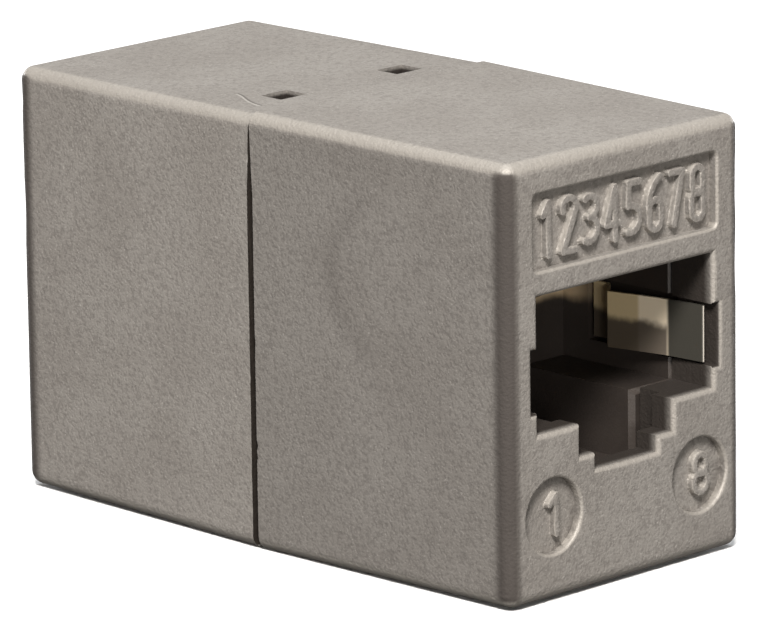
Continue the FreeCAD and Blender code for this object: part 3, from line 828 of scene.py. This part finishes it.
@dataclass(frozen=True)
class BoardLaminate:
    """Green solder mask over glass cloth."""

    light: Colour = (0.05, 0.17, 0.08)
    dark: Colour = (0.02, 0.09, 0.04)
    roughness: Pair = (0.28, 0.42)
    grain_per_mm: float = 3.0
    blotch_per_mm: float = 0.6
    weave_scale: float = 1.4
    weave_waver: float = 0.4
    weave_depth_mm: float = 0.006

    def make(self, shop: Shop) -> Material:
        """Make the material.

        Args:
            shop: holds the shared effects.

        Returns:
            The material.
        """
        material, graph, shader = shop.start("solder_masked_laminate")
        grain = shop.place(graph, shop.grain, Grain_per_mm=self.grain_per_mm,
                           Blotch_per_mm=self.blotch_per_mm).outputs
        weave = graph.add("ShaderNodeTexWave", None, Vector=graph.millimetres(),
                          Scale=self.weave_scale, Distortion=self.weave_waver).outputs["Fac"]
        graph.feed(shader.inputs["Base Color"],
                   graph.blend(grain["Blotch"], self.dark, self.light))
        graph.feed(shader.inputs["Roughness"], graph.remap(weave, (0.0, 1.0), self.roughness))
        shop.bump(graph, shader, weave, self.weave_depth_mm)
        return material


Finish = CastMetal | MouldedPlastic | PlatedStrip | SpringStrip | BoardLaminate


# ------------ studio


@dataclass(frozen=True)
class Softbox:
    """A large square lamp that points at the coupler."""

    name: str
    place_mm: Triple
    side_mm: float
    watts: float
    colour: Colour

    def hang(self, target: Vector) -> None:
        """Put the lamp up.

        Args:
            target: the point that it faces.
        """
        data = bpy.data.lights.new(self.name, "AREA")
        data.shape = "SQUARE"
        data.size = mm(self.side_mm)
        data.energy = self.watts
        data.color = self.colour
        lamp = put(self.name, data)
        spot = Vector([mm(part) for part in self.place_mm])
        lamp.location = spot
        lamp.rotation_euler = (target - spot).to_track_quat("-Z", "Y").to_euler()


@dataclass(frozen=True)
class Viewpoint:
    """The camera, by where it looks and how far off it stands."""

    heading_deg: float = 44.44
    fall_deg: float = 13.97
    roll_deg: float = 0.81
    distance_mm: float = 346.0
    aim_right_mm: float = 0.442
    aim_down_mm: float = 0.518
    lens: float = 334.68
    clip_start_mm: float = 10.0

    def place(self, middle: Vector) -> None:
        """Put the camera up.

        Args:
            middle: the middle of the coupler.
        """
        heading, fall, roll = (math.radians(angle) for angle in
                               (self.heading_deg, self.fall_deg, self.roll_deg))
        forward = Vector((math.sin(heading) * math.cos(fall),
                          math.cos(heading) * math.cos(fall), -math.sin(fall)))
        level = forward.cross(Vector((0, 0, 1))).normalized()
        plumb = forward.cross(level)
        right = level * math.cos(roll) + plumb * math.sin(roll)
        down = forward.cross(right)
        spot = (middle + right * mm(self.aim_right_mm) + down * mm(self.aim_down_mm)
                - forward * mm(self.distance_mm))
        data = bpy.data.cameras.new("camera")
        data.lens = self.lens
        data.clip_start = mm(self.clip_start_mm)
        camera = put("camera", data)
        turn = Matrix((right, -down, -forward)).transposed().to_4x4()
        camera.matrix_world = Matrix.Translation(spot) @ turn
        bpy.context.scene.camera = camera


@dataclass(frozen=True)
class Studio:
    """Floor, lamps, surroundings and camera."""

    floor_side_mm: float = 6000.0
    floor_shade: float = 0.92
    floor_bounce: float = 0.08
    floor_roughness: float = 0.9
    surround: Colour = (0.95, 0.97, 1.0)
    surround_strength: float = 0.075
    lamps: tuple[Softbox, ...] = (
        Softbox("key", (-320.0, -290.0, 440.0), 150.0, 7.3, (1.0, 0.97, 0.94)),
        Softbox("low_front", (-330.0, -520.0, 70.0), 160.0, 1.3, (1.0, 0.96, 0.91)),
        Softbox("right_fill", (430.0, 35.0, 40.0), 70.0, 1.1, (0.98, 0.98, 1.0)),
        Softbox("back_fill", (35.0, 430.0, 40.0), 70.0, 1.1, (0.98, 0.98, 1.0)),
        Softbox("overhead", (60.0, 90.0, 600.0), 300.0, 1.6, (0.94, 0.98, 1.0)),
    )
    view: Viewpoint = field(default_factory=Viewpoint)

    def floor_material(self, shop: Shop) -> Material:
        """Make the pale floor's material, which gives little light back.

        Args:
            shop: starts the material.

        Returns:
            The material.
        """
        material, graph, shader = shop.start("pale_floor")
        seen = graph.add("ShaderNodeLightPath").outputs["Is Camera Ray"]
        dim, pale = ((shade,) * 3 for shade in (self.floor_bounce, self.floor_shade))
        graph.feed(shader.inputs["Base Color"], graph.blend(seen, dim, pale))
        shader.inputs["Roughness"].default_value = self.floor_roughness
        return material

    def lay_floor(self, shop: Shop, level: float) -> None:
        """Lay the floor under the coupler.

        Args:
            shop: starts the floor's material.
            level: the floor's height in metres.
        """
        half = mm(self.floor_side_mm) / 2
        corners = [(-half, -half), (half, -half), (half, half), (-half, half)]
        mesh = bpy.data.meshes.new("floor")
        mesh.from_pydata([(x, y, level) for x, y in corners], [], [(0, 1, 2, 3)])
        mesh.materials.append(self.floor_material(shop))
        put("floor", mesh)

    def build(self, shop: Shop, low: Vector, high: Vector) -> None:
        """Set the studio up.

        Args:
            shop: starts the floor's material.
            low: the lowest corner of the coupler's box.
            high: the highest corner of the coupler's box.
        """
        self.lay_floor(shop, low.z)
        world = bpy.data.worlds.new("surroundings")
        world.use_nodes = True
        background = world.node_tree.nodes["Background"]
        background.inputs["Color"].default_value = (*self.surround, 1.0)
        background.inputs["Strength"].default_value = self.surround_strength
        bpy.context.scene.world = world
        bpy.context.scene.view_settings.view_transform = "Standard"
        middle = (low + high) / 2
        for lamp in self.lamps:
            lamp.hang(middle)
        self.view.place(middle)
        LOG.info("studio: %d lamps", len(self.lamps))


# ------------ cast halves


@dataclass(frozen=True)
class Patch:
    """A box of the half's surface that is cut finer, in millimetres."""

    low: Triple
    high: Triple
    steps: Triple

    def holds(self, spot: Vector) -> bool:
        """Return whether a point in metres is inside the patch."""
        return all(mm(a) <= part <= mm(b) for a, part, b in zip(self.low, spot, self.high))

    def planes(self) -> list[tuple[int, float]]:
        """List the cutting planes.

        Returns:
            Pairs of axis and place in metres.
        """
        cuts = []
        for axis, (a, b, step) in enumerate(zip(self.low, self.high, self.steps)):
            if step > 0:
                count = max(1, round((b - a) / step))
                cuts += [(axis, mm(a + (b - a) * (k + 0.5) / count)) for k in range(count)]
        return cuts


@dataclass(frozen=True)
class Nick:
    """A small knock that pushes the surface in."""

    place_mm: Triple
    radius_mm: float
    push_mm: Triple

    def press(self, bm: BMesh) -> None:
        """Push in the vertices near the nick.

        Args:
            bm: the half's mesh.
        """
        middle = Vector(self.place_mm) * mm(1.0)
        reach = mm(self.radius_mm)
        push = Vector(self.push_mm) * mm(1.0)
        for vertex in bm.verts:
            gap = (vertex.co - middle).length
            if gap < reach:
                vertex.co += push * (1.0 - (gap / reach) ** 2) ** 2


@dataclass(frozen=True)
class CastHalf:
    """One die-cast half with the small unevenness of a casting.

    Its numerals are rounded, its edges have nicks and its seam is ragged. toward is -1 for
    the half at negative Y and 1 for the other. A rise is a low and a high end along Z, and
    half is half of a width and of a height. Steps are the sizes of the cells along X, Y and
    Z, where 0 leaves them whole. lip_gain scales the seam's nicks across and along.
    """

    node: str
    toward: float
    seam_half_width_mm: float = 8.22
    height_mm: float = 21.5
    middle_mm: float = 10.75
    skin_mm: float = 0.78
    roof_skins: float = 1.3

    cell_mm: float = 1.7
    whole_half_width_mm: float = 8.3
    whole_rise_mm: Pair = (-0.1, 21.6)
    seam_depth_mm: float = 0.42
    top_half_width_mm: float = 8.2
    top_rise_mm: Pair = (20.6, 21.6)
    top_steps_mm: Triple = (0.35, 0.2, 0.0)
    wall_inside_mm: float = 7.3
    wall_margin_mm: float = 0.1
    wall_steps_mm: Triple = (0.0, 0.2, 0.3)
    face_depth_mm: float = 0.62
    face_steps_mm: Triple = (0.15, 0.13, 0.15)
    mark_place_mm: Pair = (4.975, -6.55)
    mark_half_mm: Pair = (1.2, 1.3)
    panel_rise_mm: float = 7.15
    panel_half_mm: Pair = (5.9, 1.6)

    smooth_rounds: int = 4
    smooth_depth_mm: Pair = (0.05, 0.6)
    uneven_mm: float = 0.01
    uneven_per_m: float = 420.0
    plain_half_width_mm: float = 6.5
    plain_rise_mm: Pair = (1.2, 20.0)
    ragged_mm: float = 0.03
    ragged_reach_mm: float = 0.4
    ragged_per_m: Pair = (1300.0, 4200.0)
    ragged_fine: float = 0.6
    ragged_bias: float = 0.25

    seed: int = 4
    nicks: int = 9
    nick_inset_mm: float = 0.2
    nick_depth_mm: Pair = (0.02, 0.06)
    nick_rise_mm: Pair = (1.0, 20.4)
    nick_radius_mm: Pair = (0.25, 0.45)
    lip_inset_mm: float = 0.05
    lip_radius_mm: Pair = (0.18, 0.32)
    lip_gain: Pair = (1.6, 0.8)

    weld_m: float = 2e-7
    cut_slack_m: float = 1e-8
    sharp_deg: float = 32.0

    def half_width(self, y: float) -> float:
        """Return the half's half-width in metres at a place along Y."""
        share = min(1.0, abs(y) / mm(HALF_LENGTH_MM))
        return mm(self.seam_half_width_mm + (FACE_HALF_WIDTH_MM - self.seam_half_width_mm) * share)

    def on_skin(self, spot: Vector) -> bool:
        """Tell the outer skin from the inside.

        Args:
            spot: a point in metres.

        Returns:
            Whether the point lies within the outer skin.
        """
        skin = mm(self.skin_mm)
        beside = abs(spot.x) > self.half_width(spot.y) - skin
        above = spot.z < skin or spot.z > mm(self.height_mm) - self.roof_skins * skin
        return beside or above or abs(spot.y) > mm(HALF_LENGTH_MM) - skin

    def face_box(self, x: float, z: float, half: Pair) -> Patch:
        """Box a part of the end face in.

        Args:
            x: the box's middle along X, in millimetres.
            z: the box's middle along Z, in millimetres.
            half: half of its width and half of its height.

        Returns:
            The patch.
        """
        face = HALF_LENGTH_MM * self.toward
        near, far = sorted((face, face - self.face_depth_mm * self.toward))
        return Patch((x - half[0], near, z - half[1]), (x + half[0], far, z + half[1]),
                     self.face_steps_mm)

    def patches(self) -> list[Patch]:
        """List the patches of fine cuts.

        Returns:
            The lid's edge at the seam, the walls' edges, the round marks and the panel.
        """
        near, far = sorted((0.0, self.seam_depth_mm * self.toward))
        wide = self.top_half_width_mm
        found = [Patch((-wide, near, self.top_rise_mm[0]), (wide, far, self.top_rise_mm[1]),
                       self.top_steps_mm)]
        for side in (-1.0, 1.0):
            wall = sorted((self.seam_half_width_mm * side + self.wall_margin_mm * side,
                           self.wall_inside_mm * side))
            found.append(Patch((wall[0], near, 0.0), (wall[1], far, self.height_mm),
                               self.wall_steps_mm))
        across, rise = self.mark_place_mm
        for side in (-1.0, 1.0):
            found.append(self.face_box(across * side, self.middle_mm + rise, self.mark_half_mm))
        found.append(self.face_box(0.0, self.middle_mm + self.panel_rise_mm, self.panel_half_mm))
        return found

    def cut(self, bm: BMesh, axis: int, place: float,
            edges: set[BMEdge], within: Patch | None = None) -> None:
        """Cut faces of the skin with a plane square to an axis.

        Args:
            bm: the half's mesh, whose layer "skin" is 1 on the faces that may be cut.
            axis: 0, 1 or 2 for X, Y or Z.
            place: where the plane is, in metres.
            edges: the edges that may be cut, to which the new ones are added.
            within: the patch that holds the faces to cut, where they are in one.
        """
        skin = bm.faces.layers.int["skin"]
        crossing = []
        for edge in edges:
            first, last = edge.verts
            if (first.co[axis] - place) * (last.co[axis] - place) < 0:
                crossing.append(edge)
        faces = {face for edge in crossing for face in edge.link_faces
                 if face[skin] and (within is None or within.holds(face.calc_center_median()))}
        if not faces:
            return
        rims = {edge for face in faces for edge in face.edges}
        corners = {vertex for face in faces for vertex in face.verts}
        normal = Vector(float(k == axis) for k in range(3))
        done = bmesh.ops.bisect_plane(bm, geom=[*corners, *rims, *faces], dist=self.cut_slack_m,
                                      plane_co=normal * place, plane_no=normal)
        edges.update(item for item in done["geom"] if isinstance(item, BMEdge))

    def dice(self, bm: BMesh) -> None:
        """Cut the outer skin into cells: large ones everywhere, and fine ones in the patches.

        Args:
            bm: the half's mesh.
        """
        skin = bm.faces.layers.int.new("skin")
        for face in bm.faces:
            face[skin] = int(all(self.on_skin(vertex.co) for vertex in face.verts))
        edges = {edge for face in bm.faces if face[skin] for edge in face.edges}
        near, far = sorted((0.0, HALF_LENGTH_MM * self.toward))
        wide = self.whole_half_width_mm
        whole = Patch((-wide, near, self.whole_rise_mm[0]), (wide, far, self.whole_rise_mm[1]),
                      (self.cell_mm,) * 3)
        for axis, place in whole.planes():
            self.cut(bm, axis, place, edges)
        for patch in self.patches():
            for axis in range(3):
                for limit in (patch.low[axis], patch.high[axis]):
                    self.cut(bm, axis, mm(limit), edges)
            inner = {face for face in bm.faces
                     if face[skin] and patch.holds(face.calc_center_median())}
            local = {edge for face in inner for edge in face.edges}
            for axis, place in patch.planes():
                self.cut(bm, axis, place, local, patch)
            edges.update(local)

    def soften_numerals(self, bm: BMesh) -> None:
        """Round the raised numerals off, as castings do.

        Args:
            bm: the half's mesh.
        """
        boxes = [patch for patch in self.patches() if min(patch.steps) > 0]
        shallow, deep = (mm(depth) for depth in self.smooth_depth_mm)
        loose = []
        for vertex in bm.verts:
            depth = mm(HALF_LENGTH_MM) - abs(vertex.co.y)
            if shallow < depth < deep and any(patch.holds(vertex.co) for patch in boxes):
                loose.append(vertex)
        for _ in range(self.smooth_rounds):
            bmesh.ops.smooth_vert(bm, verts=loose, factor=0.5, use_axis_x=True,
                                  use_axis_y=True, use_axis_z=True)

    def stays_plain(self, spot: Vector) -> bool:
        """Return whether a point, in metres, is off the skin or in the port's mouth."""
        low, high = self.plain_rise_mm
        return not self.on_skin(spot) or (abs(spot.x) < mm(self.plain_half_width_mm)
                                          and mm(low) < spot.z < mm(high))

    def lip_move(self, spot: Vector) -> float:
        """Find how far the seam's ragged lip stands out.

        Args:
            spot: a point of the skin, in metres.

        Returns:
            The move along Y in metres, which is 0 away from the seam.
        """
        along = abs(spot.y)
        reach = mm(self.ragged_reach_mm)
        if along >= reach:
            return 0.0
        coarse, fine = self.ragged_per_m
        ragged = noise.noise(spot * coarse) + self.ragged_fine * noise.noise(spot * fine)
        return (mm(self.ragged_mm) * max(0.0, ragged + self.ragged_bias)
                * (1.0 - along / reach) * self.toward)

    def roughen(self, bm: BMesh) -> None:
        """Make the skin a little uneven and the seam's lip ragged.

        Args:
            bm: the half's mesh.
        """
        bm.normal_update()
        moves = []
        for vertex in bm.verts:
            if self.stays_plain(vertex.co):
                continue
            swell = 0.5 + 0.5 * noise.noise(vertex.co * self.uneven_per_m)
            move = vertex.normal * (-mm(self.uneven_mm) * swell)
            move.y += self.lip_move(vertex.co)
            moves.append((vertex, move))
        for vertex, move in moves:
            vertex.co += move

    def knocks(self) -> list[Nick]:
        """Scatter nicks along the upright edges of the end face and of the seam.

        Returns:
            The nicks, by turns at the end face and at the seam.
        """
        dice = random.Random(self.seed + int(self.toward))
        end = (HALF_LENGTH_MM - self.nick_inset_mm) * self.toward
        edge = FACE_HALF_WIDTH_MM - self.nick_inset_mm
        across, along = self.lip_gain
        found = []
        for _ in range(self.nicks):
            side = dice.choice((-1.0, 1.0))
            depth = dice.uniform(*self.nick_depth_mm)
            place = (side * edge, end, dice.uniform(*self.nick_rise_mm))
            found.append(Nick(place, dice.uniform(*self.nick_radius_mm),
                              (-side * depth, -self.toward * depth, 0.0)))
            lip = (side * self.seam_half_width_mm, self.lip_inset_mm * self.toward,
                   dice.uniform(*self.nick_rise_mm))
            found.append(Nick(lip, dice.uniform(*self.lip_radius_mm),
                              (-side * depth * across, self.toward * depth * along, 0.0)))
        return found

    def shape(self, mesh: Mesh) -> None:
        """Turn a copy of the CAD half's mesh into the casting's.

        Args:
            mesh: the copy, which is changed.
        """
        bm = bmesh.new()
        bm.from_mesh(mesh)
        bmesh.ops.remove_doubles(bm, verts=bm.verts, dist=self.weld_m)
        self.dice(bm)
        self.soften_numerals(bm)
        self.roughen(bm)
        for nick in self.knocks():
            nick.press(bm)
        bmesh.ops.triangulate(bm, faces=bm.faces)
        for face in bm.faces:
            face.smooth = True
        bm.to_mesh(mesh)
        bm.free()
        if "custom_normal" in mesh.attributes:
            mesh.attributes.remove(mesh.attributes["custom_normal"])
        mesh.set_sharp_from_angle(angle=math.radians(self.sharp_deg))

    def build(self, material: Material) -> None:
        """Make the piece that stands for the CAD half, and put it in place.

        Args:
            material: the finish of the casting.
        """
        source = frame["nodes"][self.node]
        mesh = source.data.copy()
        mesh.name = f"{self.node}_casting"
        self.shape(mesh)
        mesh.materials.clear()
        mesh.materials.append(material)
        piece = put(mesh.name, mesh)
        piece.modifiers.new("weigh_normals", "WEIGHTED_NORMAL").keep_sharp = True
        piece.matrix_world = source.matrix_world.copy()
        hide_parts(self.node)
        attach(piece, BODY)
        LOG.info("%s: %d triangles", piece.name, len(mesh.polygons))


# ------------ coupler


@dataclass(frozen=True)
class Coupler:
    """The whole part: the finish of every slot, and the halves that are cast."""

    finishes: tuple[tuple[Slot, Finish], ...] = (
        (Slot.CAST, CastMetal()),
        (Slot.INSERT, MouldedPlastic("insert_moulding", light=(0.042, 0.034, 0.029),
                                     dark=(0.02, 0.016, 0.014))),
        (Slot.CARRIER, MouldedPlastic("carrier_moulding", light=(0.06, 0.055, 0.05),
                                      dark=(0.035, 0.032, 0.03))),
        (Slot.SPRING, SpringStrip()),
        (Slot.WIRE, PlatedStrip("gilt_contact_wire", light=(0.86, 0.66, 0.30),
                                dark=(0.74, 0.54, 0.22), roughness=0.25)),
        (Slot.BOARD, BoardLaminate()),
    )
    halves: tuple[CastHalf, ...] = (CastHalf("front_shell", -1.0), CastHalf("rear_shell", 1.0))

    def slot_of(self, node: str) -> Slot:
        """Return the record's slot of a node."""
        entry = next(item for item in frame["record"]["subparts"] if item["node"] == node)
        return Slot(entry["material_slot"])

    def dress(self, shop: Shop) -> None:
        """Give every node its finish, and build the cast halves.

        Args:
            shop: holds the shared effects.
        """
        materials = {slot: finish.make(shop) for slot, finish in self.finishes}
        for name, node in sorted(frame["nodes"].items()):
            material = materials[self.slot_of(name)]
            for holder in node.material_slots:
                holder.material = material
            LOG.info("%s: %s", name, material.name)
        for half in self.halves:
            half.build(materials[Slot.CAST])


def main() -> None:
    """Build the coupler's looks and the studio."""
    logging.basicConfig(level=logging.INFO, format="%(name)s: %(message)s")
    shop = Shop()
    Coupler().dress(shop)
    low, high = (Vector(corner) for corner in CAD_BOX)
    Studio().build(shop, low, high)


if __name__ == "__main__":
    main()
